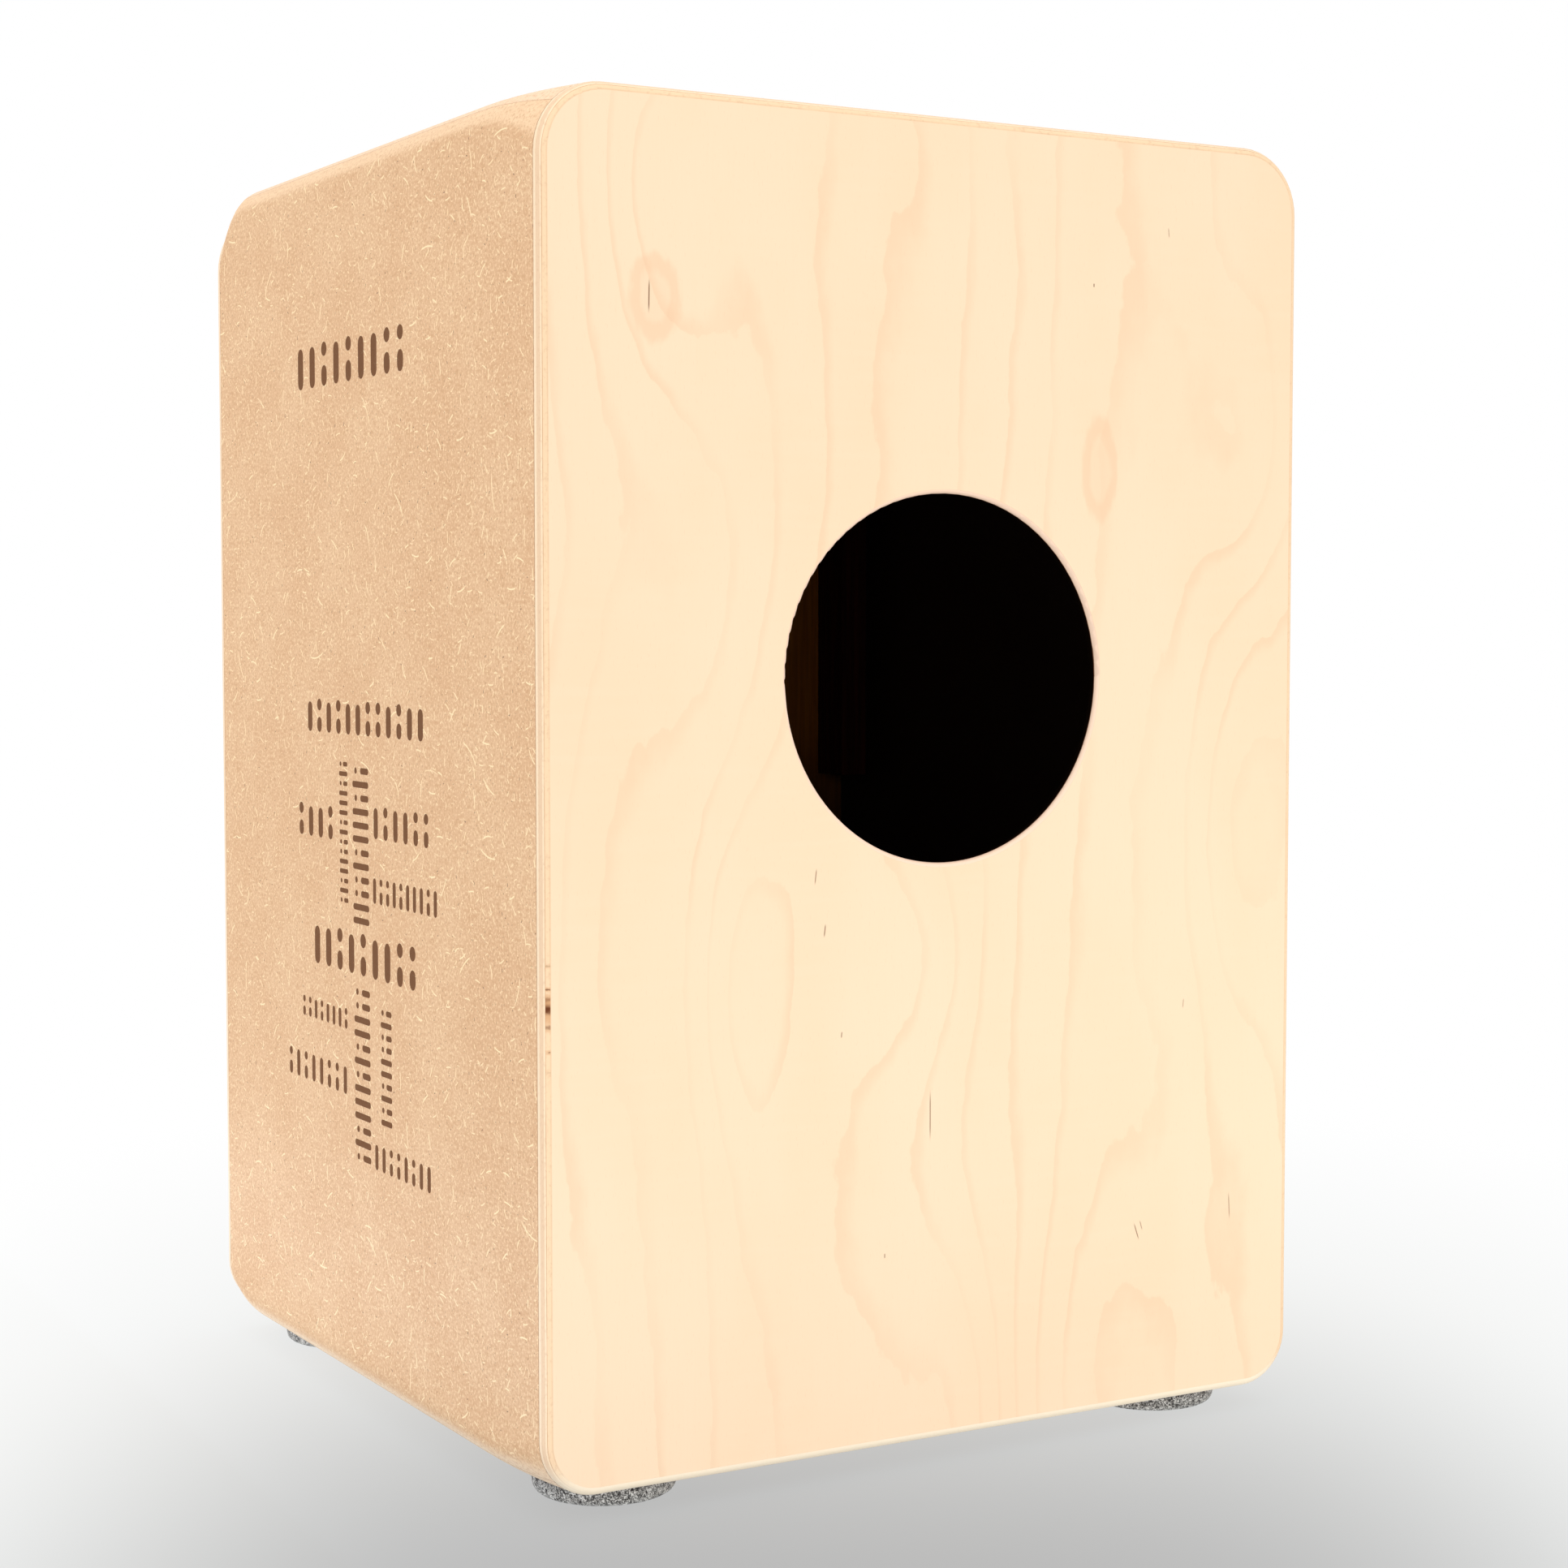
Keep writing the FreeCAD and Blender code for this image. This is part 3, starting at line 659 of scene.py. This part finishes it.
INK_THICKNESS = 0.06 * MM
CORNER_STEPS = 4
TALL_AND_SHORT = (1, 1, 0, 1, 0, 1, 1, 0, 0, 1, 0, 1)
MARK_ROWS = (
    # lowest y and z, length, height, number of marks, upright row, weight, place in the pattern
    (-60.0, 372.0, 101.0, 15.0, 9, False, 0.43, 0),
    (-53.0, 246.0, 109.0, 11.0, 12, False, 0.45, 1),
    (-63.0, 207.0, 34.0, 11.0, 4, False, 0.43, 4),
    (-22.0, 185.0, 51.0, 8.0, 15, True, 0.46, 2),
    (-9.0, 178.5, 56.0, 15.0, 12, True, 0.46, 5),
    (11.0, 210.0, 49.0, 11.0, 6, False, 0.41, 3),
    (10.0, 187.0, 57.0, 9.0, 10, False, 0.43, 6),
    (-48.0, 160.0, 96.0, 14.0, 9, False, 0.45, 0),
    (-61.0, 139.0, 45.0, 7.0, 8, False, 0.41, 7),
    (-76.0, 115.0, 59.0, 10.0, 8, False, 0.39, 2),
    (-9.0, 93.0, 62.0, 15.0, 13, True, 0.46, 8),
    (16.0, 109.0, 41.0, 10.0, 10, True, 0.46, 1),
    (10.0, 92.0, 50.0, 9.0, 8, False, 0.41, 5),
)


def rounded_outline(low_y, low_z, high_y, high_z):
    """Corners of an upright bar with half round ends."""
    radius = min(high_y - low_y, high_z - low_z) / 2
    centres = ((high_y - radius, high_z - radius), (low_y + radius, high_z - radius),
               (low_y + radius, low_z + radius), (high_y - radius, low_z + radius))
    points = []
    for quarter, (y, z) in enumerate(centres):
        for step in range(CORNER_STEPS + 1):
            angle = math.pi / 2 * (quarter + step / CORNER_STEPS)
            points.append((y + radius * math.cos(angle), z + radius * math.sin(angle)))
    return points


def add_mark(mesh, low_y, low_z, high_y, high_z):
    """One printed bar or dot on the left side panel."""
    outline = rounded_outline(low_y, low_z, high_y, high_z)
    lower = [mesh.verts.new((SIDE_X, y, z)) for y, z in outline]
    upper = [mesh.verts.new((SIDE_X + INK_THICKNESS, y, z)) for y, z in outline]
    mesh.faces.new(upper)
    mesh.faces.new(list(reversed(lower)))
    for first in range(len(outline)):
        second = (first + 1) % len(outline)
        mesh.faces.new((lower[first], lower[second], upper[second], upper[first]))


def add_mark_row(mesh, low_y, low_z, length, height, count, upright, weight, offset):
    """A row of tall bars and of short bars with a dot over them."""
    pitch = length / (count - 1 + weight)
    width = pitch * weight
    for number in range(count):
        tall = TALL_AND_SHORT[(number + offset) % len(TALL_AND_SHORT)]
        start = number * pitch
        spans = [(0.0, height)] if tall else [(0.0, height * 0.5), (height * 0.72, height * 0.72 + width)]
        for low, high in spans:
            if upright:
                corners = (low_y + height - high, low_z + start, low_y + height - low, low_z + start + width)
            else:
                corners = (low_y + start, low_z + low, low_y + start + width, low_z + high)
            add_mark(mesh, *(corner * MM for corner in corners))


def printed_marks():
    """A plain rhythm pattern in brown ink in place of the lettering on the side panel."""
    mesh = bmesh.new()
    for row in MARK_ROWS:
        add_mark_row(mesh, *row)
    piece = finished_piece(mesh, "printed_rhythm_marks", ink_on_fibreboard())
    for face in piece.data.polygons:
        face.use_smooth = False
    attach(piece, BODY)


# ---------------------------------------------------------------- stage, light and camera

WHITE = (1.0, 1.0, 1.0)
COOL = (0.82, 1.0, 1.35)
SOFTBOXES = (
    # name, azimuth, elevation, distance, width, height, power, tint
    ("key", 165.0, 35.0, 0.9, 1.2, 0.3, 1.15, WHITE),
    ("fill", 84.0, 24.0, 2.4, 1.6, 1.2, 3.4, WHITE),
    ("front_edge", 50.0, 5.0, 0.8, 0.3, 0.6, 0.4, WHITE),
    ("low_rear", 178.0, -24.0, 0.515, 0.9, 0.06, 0.66, WHITE),
    ("low_side", 88.0, -42.6, 0.3125, 0.9, 0.04, 0.112, COOL),
    ("top", 120.0, 88.0, 2.0, 1.6, 1.6, 6.0, WHITE),
)
FLOOR_RADIUS = 9.0
FLOOR_SHADOW_GREY = linear(180, 180, 180)
FLOOR_PALE = linear(236, 238, 237)
FLOOR_WHITE = linear(255, 255, 255)
FLOOR_SHADE = (0.26, 0.523)     # middle of an oblong pool of painted shadow behind the object
FLOOR_SHADE_TURN = math.radians(30.0)
FLOOR_SHADE_STRETCH = 2.4
SENSOR = 36.0
LENS = 65.80
CAMERA_AZIMUTH = math.radians(150.02)
CAMERA_ELEVATION = math.radians(3.33)
CAMERA_DISTANCE = 1.0949
CAMERA_RIGHT = 0.02035
CAMERA_UP = -0.0070


def stage():
    """A softly glowing pale floor: an oblong pool of painted shadow behind the object, white far away, a
    faint shadow.
    """
    bpy.ops.mesh.primitive_circle_add(vertices=128, radius=FLOOR_RADIUS, fill_type="NGON")
    floor = bpy.context.object
    floor.name = "studio_floor"
    graph = Graph("studio_floor", Roughness=0.9)
    graph.shader.inputs["Specular IOR Level"].default_value = 0.0
    x = graph.minus(graph.x, FLOOR_SHADE[0])
    y = graph.minus(graph.y, FLOOR_SHADE[1])
    sine, cosine = math.sin(FLOOR_SHADE_TURN), math.cos(FLOOR_SHADE_TURN)
    across = graph.minus(graph.times(y, sine), graph.times(x, cosine))
    along = graph.times(graph.plus(graph.times(x, sine), graph.times(y, cosine)), 1 / FLOOR_SHADE_STRETCH)
    fourth = graph.plus(graph.math("POWER", across, 4.0), graph.math("POWER", along, 4.0))
    distance = graph.math("POWER", fourth, 0.25)
    # Painted shadow: grey in the middle of the pool, paling to white outwards.
    colour = graph.blend(graph.step(distance, 0.097, 0.343), FLOOR_SHADOW_GREY, FLOOR_PALE)
    colour = graph.blend(graph.step(distance, 0.156, 0.509), colour, FLOOR_WHITE)
    graph.feed(graph.shader.inputs["Base Color"], colour)
    glow = graph.add("Emission", {"Color": colour, "Strength": 1.0}).outputs[0]
    fade = graph.step(graph.length(graph.x, graph.y), 0.15, 0.60, 0.88, 1.0)
    mixed = graph.add("MixShader", {0: fade, 1: graph.shader.outputs[0], 2: glow}).outputs[0]
    output = graph.tree.nodes["Material Output"]
    graph.feed(output.inputs["Surface"], mixed)
    floor.data.materials.append(graph.material)


def surroundings():
    """Even white light from all sides."""
    world = bpy.data.worlds.new("studio")
    world.use_nodes = True
    background = world.node_tree.nodes["Background"]
    background.inputs["Color"].default_value = (1.0, 1.0, 1.0, 1.0)
    background.inputs["Strength"].default_value = 1.0
    bpy.context.scene.world = world
    bpy.context.scene.view_settings.view_transform = "Standard"


def direction(azimuth, elevation):
    """The way from the object towards a place seen at these angles, in radians."""
    return Vector((math.sin(azimuth) * math.cos(elevation), -math.cos(azimuth) * math.cos(elevation),
                   math.sin(elevation)))


def softbox(name, azimuth, elevation, distance, width, height, power, tint):
    """An area light that looks at the middle of the object."""
    data = bpy.data.lights.new(name, "AREA")
    data.color = tint
    data.shape = "RECTANGLE"
    data.size = width
    data.size_y = height
    data.energy = power
    light = bpy.data.objects.new(name, data)
    back = direction(math.radians(azimuth), math.radians(elevation))
    light.location = Vector((0.0, 0.0, MIDDLE_Z)) + back * distance
    light.rotation_euler = back.to_track_quat("Z", "Y").to_euler()
    light.visible_camera = False
    bpy.context.scene.collection.objects.link(light)


def camera():
    """A long lens at the height of the upper half of the object, behind it and to its left."""
    back = direction(CAMERA_AZIMUTH, CAMERA_ELEVATION)
    right = Vector((0.0, 0.0, 1.0)).cross(back).normalized()
    up = back.cross(right)
    data = bpy.data.cameras.new("camera")
    data.sensor_width = SENSOR
    data.lens = LENS
    view = bpy.data.objects.new("camera", data)
    turned = Matrix((right, up, back)).transposed().to_4x4()
    middle = Vector((0.0, 0.0, MIDDLE_Z))
    view.matrix_world = Matrix.Translation(
        middle + right * CAMERA_RIGHT + up * CAMERA_UP + back * CAMERA_DISTANCE) @ turned
    bpy.context.scene.collection.objects.link(view)
    bpy.context.scene.camera = view


# ---------------------------------------------------------------- the object

def dress(names, material):
    """The material of these CAD nodes."""
    for name in names:
        slots = NODES[name].data.materials
        slots.clear()
        slots.append(material)


camera()
surroundings()
stage()
for softbox_values in SOFTBOXES:
    softbox(*softbox_values)

dress(("side_panel_left", "side_panel_right"), fibreboard("fibreboard_side", "side", MDF_CORE))
dress(("seat_panel", "base_panel"), fibreboard("fibreboard_seat", "seat", MDF_CORE_SEAT))
dress(("rear_panel",), rear_plywood())
dress(("playing_surface",), front_plywood())
dress(("corner_batten_left", "corner_batten_right"),
      shade_darkened_wood("shade_darkened_batten", "z", BATTEN_DARK, BATTEN_LIGHT))
dress(("front_rail", "snare_bar"), shade_darkened_wood("shade_darkened_rail", "x", RAIL_DARK, RAIL_LIGHT))
dress([name for name in NODES if "screws" in name], steel("zinc_plated_steel", ZINC, 0.28))
dress([name for name in NODES if name.startswith(("snare_wires", "snare_clamp_l", "snare_clamp_r"))],
      steel("drawn_steel", DRAWN_STEEL, 0.24))

FELT = wool_felt()
for foot_node in [name for name in NODES if name.startswith("felt_foot")]:
    felt_foot(foot_node, FELT)
printed_marks()
